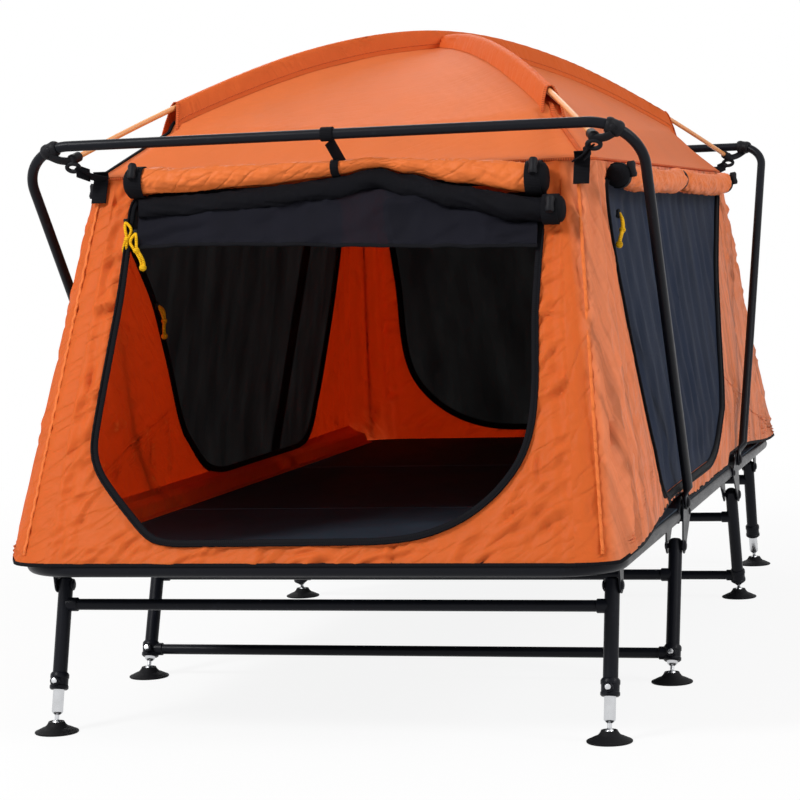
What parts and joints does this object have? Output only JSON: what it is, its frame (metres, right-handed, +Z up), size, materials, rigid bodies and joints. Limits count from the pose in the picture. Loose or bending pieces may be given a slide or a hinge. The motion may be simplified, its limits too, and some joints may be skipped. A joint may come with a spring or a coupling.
{
  "type": "tent cot",
  "caption": "Folding camp bed with a pole tent over it: folding hoops, swivel feet on telescopic legs, mesh panels and rolled door flaps.",
  "frame": {"origin": "on the ground under the middle of the bed", "axes": "+X to the right and +Y from the open door end to the far end, +Z up"},
  "size_m": [0.9552, 1.968, 1.0798],
  "materials": {
    "black_tube": "semi-gloss black paint",
    "aluminium": "satin",
    "black_plastic": "matt moulded plastic",
    "orange_fabric": "light woven polyester",
    "roof_fabric": "light woven polyester",
    "black_mesh": "fine insect mesh",
    "deck_fabric": "heavy woven polyester",
    "fibreglass": "fabric-covered fibreglass rod"
  },
  "bodies": {
    "base": {"left_middle_rail": "black_tube", "right_middle_rail": "black_tube", "middle_deck": "deck_fabric", "front_left_hinge_bracket": "black_plastic", "front_right_hinge_bracket": "black_plastic", "rear_left_hinge_bracket": "black_plastic", "rear_right_hinge_bracket": "black_plastic", "upper_roof_pole": "fibreglass", "lower_roof_pole": "fibreglass", "roof": "roof_fabric", "front_wall": "orange_fabric", "rear_wall": "orange_fabric", "left_wall": "orange_fabric", "right_wall": "orange_fabric", "front_door_roll": "orange_fabric", "rear_window_roll": "orange_fabric", "right_door_roll": "orange_fabric", "left_window_roll": "orange_fabric", "front_door_mesh": "black_mesh", "rear_window_mesh": "black_mesh", "left_window_mesh": "black_mesh", "right_door_mesh": "black_mesh"},
    "front_section": {"front_frame": "black_tube", "front_deck": "deck_fabric"},
    "front_hoop_body": {"front_hoop": "black_tube", "front_left_hoop_clamp": "black_plastic", "front_right_hoop_clamp": "black_plastic"},
    "front_legs": {"front_leg_frame": "black_tube"},
    "front_left_inner": {"front_left_inner_leg": "aluminium"},
    "front_left_foot_body": {"front_left_foot": "black_plastic"},
    "front_left_button_body": {"front_left_leg_button": "aluminium"},
    "front_right_inner": {"front_right_inner_leg": "aluminium"},
    "front_right_foot_body": {"front_right_foot": "black_plastic"},
    "front_right_button_body": {"front_right_leg_button": "aluminium"},
    "front_middle_legs": {"front_middle_leg_frame": "black_tube"},
    "front_middle_left_inner": {"front_middle_left_inner_leg": "aluminium"},
    "front_middle_left_foot_body": {"front_middle_left_foot": "black_plastic"},
    "front_middle_left_button_body": {"front_middle_left_leg_button": "aluminium"},
    "front_middle_right_inner": {"front_middle_right_inner_leg": "aluminium"},
    "front_middle_right_foot_body": {"front_middle_right_foot": "black_plastic"},
    "front_middle_right_button_body": {"front_middle_right_leg_button": "aluminium"},
    "rear_section": {"rear_frame": "black_tube", "rear_deck": "deck_fabric"},
    "rear_hoop_body": {"rear_hoop": "black_tube", "rear_left_hoop_clamp": "black_plastic", "rear_right_hoop_clamp": "black_plastic"},
    "rear_legs": {"rear_leg_frame": "black_tube"},
    "rear_left_inner": {"rear_left_inner_leg": "aluminium"},
    "rear_left_foot_body": {"rear_left_foot": "black_plastic"},
    "rear_left_button_body": {"rear_left_leg_button": "aluminium"},
    "rear_right_inner": {"rear_right_inner_leg": "aluminium"},
    "rear_right_foot_body": {"rear_right_foot": "black_plastic"},
    "rear_right_button_body": {"rear_right_leg_button": "aluminium"},
    "rear_middle_legs": {"rear_middle_leg_frame": "black_tube"},
    "rear_middle_left_inner": {"rear_middle_left_inner_leg": "aluminium"},
    "rear_middle_left_foot_body": {"rear_middle_left_foot": "black_plastic"},
    "rear_middle_left_button_body": {"rear_middle_left_leg_button": "aluminium"},
    "rear_middle_right_inner": {"rear_middle_right_inner_leg": "aluminium"},
    "rear_middle_right_foot_body": {"rear_middle_right_foot": "black_plastic"},
    "rear_middle_right_button_body": {"rear_middle_right_leg_button": "aluminium"}
  },
  "joints": [
    {"name": "front_section_fold", "type": "hinge", "parent": "base", "child": "front_section", "pos_m": [0, -0.352, 0.2765], "axis": [1, 0, 0], "range_deg": [-180, 0]},
    {"name": "front_hoop_fold", "type": "hinge", "parent": "base", "child": "front_hoop_body", "pos_m": [0, -0.352, 0.2765], "axis": [1, 0, 0], "range_deg": [0, 52], "deforming": ["upper_roof_pole", "lower_roof_pole", "roof", "front_wall", "rear_wall", "left_wall", "right_wall", "front_door_roll", "rear_window_roll", "right_door_roll", "left_window_roll", "front_door_mesh", "rear_window_mesh", "left_window_mesh", "right_door_mesh"]},
    {"name": "front_leg_fold", "type": "hinge", "parent": "front_section", "child": "front_legs", "pos_m": [0, -0.838, 0.214], "axis": [1, 0, 0], "range_deg": [0, 100]},
    {"name": "front_left_leg_slide", "type": "slide", "parent": "front_legs", "child": "front_left_inner", "axis": [0, -0.2924, -0.9563], "range_m": [-0.03, 0.05]},
    {"name": "front_left_foot_tilt", "type": "hinge", "parent": "front_left_inner", "child": "front_left_foot_body", "pos_m": [-0.418, -0.8993, 0.0135], "axis": [1, 0, 0], "range_deg": [-15, 15]},
    {"name": "front_left_leg_button_press", "type": "slide", "parent": "front_legs", "child": "front_left_button_body", "axis": [0, -0.9563, 0.2924], "range_m": [-0.0025, 0], "stiffness_N_per_m": 600, "springref_m": 0.002},
    {"name": "front_right_leg_slide", "type": "slide", "parent": "front_legs", "child": "front_right_inner", "axis": [0, -0.2924, -0.9563], "range_m": [-0.03, 0.05]},
    {"name": "front_right_foot_tilt", "type": "hinge", "parent": "front_right_inner", "child": "front_right_foot_body", "pos_m": [0.418, -0.8993, 0.0135], "axis": [1, 0, 0], "range_deg": [-15, 15]},
    {"name": "front_right_leg_button_press", "type": "slide", "parent": "front_legs", "child": "front_right_button_body", "axis": [0, -0.9563, 0.2924], "range_m": [-0.0025, 0], "stiffness_N_per_m": 600, "springref_m": 0.002},
    {"name": "front_middle_leg_fold", "type": "hinge", "parent": "base", "child": "front_middle_legs", "pos_m": [0, -0.366, 0.208], "axis": [1, 0, 0], "range_deg": [0, 100]},
    {"name": "front_middle_left_leg_slide", "type": "slide", "parent": "front_middle_legs", "child": "front_middle_left_inner", "axis": [0, -0.3746, -0.9272], "range_m": [0, 0.05]},
    {"name": "front_middle_left_foot_tilt", "type": "hinge", "parent": "front_middle_left_inner", "child": "front_middle_left_foot_body", "pos_m": [-0.44, -0.44458, 0.0135], "axis": [1, 0, 0], "range_deg": [-15, 12]},
    {"name": "front_middle_left_leg_button_press", "type": "slide", "parent": "front_middle_legs", "child": "front_middle_left_button_body", "axis": [0, -0.9272, 0.3746], "range_m": [-0.0025, 0], "stiffness_N_per_m": 600, "springref_m": 0.002},
    {"name": "front_middle_right_leg_slide", "type": "slide", "parent": "front_middle_legs", "child": "front_middle_right_inner", "axis": [0, -0.3746, -0.9272], "range_m": [0, 0.05]},
    {"name": "front_middle_right_foot_tilt", "type": "hinge", "parent": "front_middle_right_inner", "child": "front_middle_right_foot_body", "pos_m": [0.44, -0.44458, 0.0135], "axis": [1, 0, 0], "range_deg": [-15, 12]},
    {"name": "front_middle_right_leg_button_press", "type": "slide", "parent": "front_middle_legs", "child": "front_middle_right_button_body", "axis": [0, -0.9272, 0.3746], "range_m": [-0.0025, 0], "stiffness_N_per_m": 600, "springref_m": 0.002},
    {"name": "rear_section_fold", "type": "hinge", "parent": "base", "child": "rear_section", "pos_m": [0, 0.352, 0.2765], "axis": [1, 0, 0], "range_deg": [0, 180]},
    {"name": "rear_hoop_fold", "type": "hinge", "parent": "base", "child": "rear_hoop_body", "pos_m": [0, 0.352, 0.2765], "axis": [1, 0, 0], "range_deg": [-52, 0]},
    {"name": "rear_leg_fold", "type": "hinge", "parent": "rear_section", "child": "rear_legs", "pos_m": [0, 0.838, 0.214], "axis": [-1, 0, 0], "range_deg": [0, 100]},
    {"name": "rear_left_leg_slide", "type": "slide", "parent": "rear_legs", "child": "rear_left_inner", "axis": [0, 0.2924, -0.9563], "range_m": [-0.03, 0.05]},
    {"name": "rear_left_foot_tilt", "type": "hinge", "parent": "rear_left_inner", "child": "rear_left_foot_body", "pos_m": [-0.418, 0.8993, 0.0135], "axis": [-1, 0, 0], "range_deg": [-15, 15]},
    {"name": "rear_left_leg_button_press", "type": "slide", "parent": "rear_legs", "child": "rear_left_button_body", "axis": [0, 0.9563, 0.2924], "range_m": [-0.0025, 0], "stiffness_N_per_m": 600, "springref_m": 0.002},
    {"name": "rear_right_leg_slide", "type": "slide", "parent": "rear_legs", "child": "rear_right_inner", "axis": [0, 0.2924, -0.9563], "range_m": [-0.03, 0.05]},
    {"name": "rear_right_foot_tilt", "type": "hinge", "parent": "rear_right_inner", "child": "rear_right_foot_body", "pos_m": [0.418, 0.8993, 0.0135], "axis": [-1, 0, 0], "range_deg": [-15, 15]},
    {"name": "rear_right_leg_button_press", "type": "slide", "parent": "rear_legs", "child": "rear_right_button_body", "axis": [0, 0.9563, 0.2924], "range_m": [-0.0025, 0], "stiffness_N_per_m": 600, "springref_m": 0.002},
    {"name": "rear_middle_leg_fold", "type": "hinge", "parent": "base", "child": "rear_middle_legs", "pos_m": [0, 0.366, 0.208], "axis": [-1, 0, 0], "range_deg": [0, 100]},
    {"name": "rear_middle_left_leg_slide", "type": "slide", "parent": "rear_middle_legs", "child": "rear_middle_left_inner", "axis": [0, 0.3746, -0.9272], "range_m": [0, 0.05]},
    {"name": "rear_middle_left_foot_tilt", "type": "hinge", "parent": "rear_middle_left_inner", "child": "rear_middle_left_foot_body", "pos_m": [-0.44, 0.44458, 0.0135], "axis": [-1, 0, 0], "range_deg": [-15, 12]},
    {"name": "rear_middle_left_leg_button_press", "type": "slide", "parent": "rear_middle_legs", "child": "rear_middle_left_button_body", "axis": [0, 0.9272, 0.3746], "range_m": [-0.0025, 0], "stiffness_N_per_m": 600, "springref_m": 0.002},
    {"name": "rear_middle_right_leg_slide", "type": "slide", "parent": "rear_middle_legs", "child": "rear_middle_right_inner", "axis": [0, 0.3746, -0.9272], "range_m": [0, 0.05]},
    {"name": "rear_middle_right_foot_tilt", "type": "hinge", "parent": "rear_middle_right_inner", "child": "rear_middle_right_foot_body", "pos_m": [0.44, 0.44458, 0.0135], "axis": [-1, 0, 0], "range_deg": [-15, 12]},
    {"name": "rear_middle_right_leg_button_press", "type": "slide", "parent": "rear_middle_legs", "child": "rear_middle_right_button_body", "axis": [0, 0.9272, 0.3746], "range_m": [-0.0025, 0], "stiffness_N_per_m": 600, "springref_m": 0.002}
  ],
  "couplings": [
    {"joint": "rear_hoop_fold", "follows": "front_hoop_fold", "ratio": -1}
  ]
}
